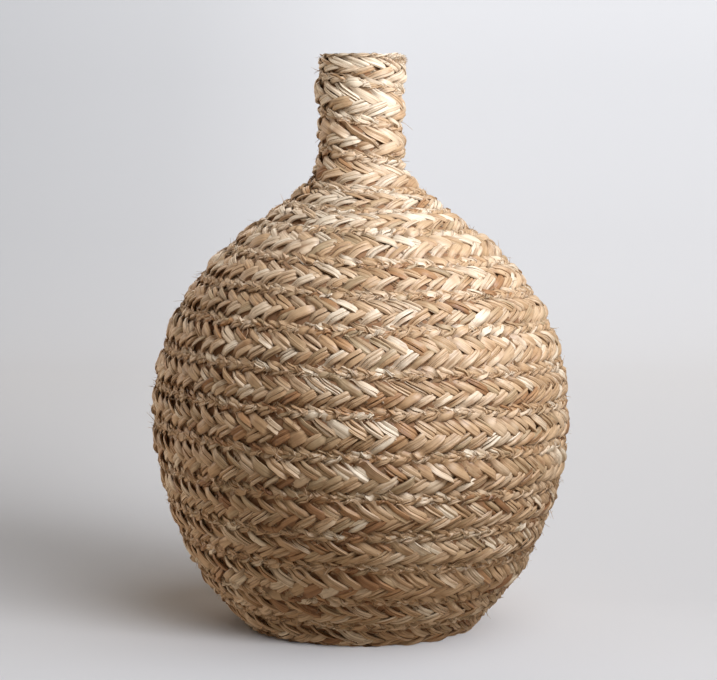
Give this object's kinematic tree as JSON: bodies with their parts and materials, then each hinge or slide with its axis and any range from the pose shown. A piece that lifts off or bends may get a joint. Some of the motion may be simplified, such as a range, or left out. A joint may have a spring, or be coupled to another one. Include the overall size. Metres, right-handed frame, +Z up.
{
  "type": "earthenware jar",
  "caption": "Tall bottle-shaped earthenware jar with a round belly and a narrow neck, wholly covered with a flat rush plait wound in a spiral; it stands on its flat foot.",
  "frame": {"origin": "centre of the bounding box's lower face: the middle of the jar's flat foot, on the floor", "axes": "+Z up along the jar's axis, -Y towards the front that the picture shows"},
  "size_m": [0.4022, 0.402, 0.547],
  "materials": {
    "terracotta": "matt fired clay",
    "rush_plait": "dry plaited rush"
  },
  "bodies": {
    "root": {"earthenware_jar": "terracotta", "plait_winding": "rush_plait"}
  },
  "joints": []
}
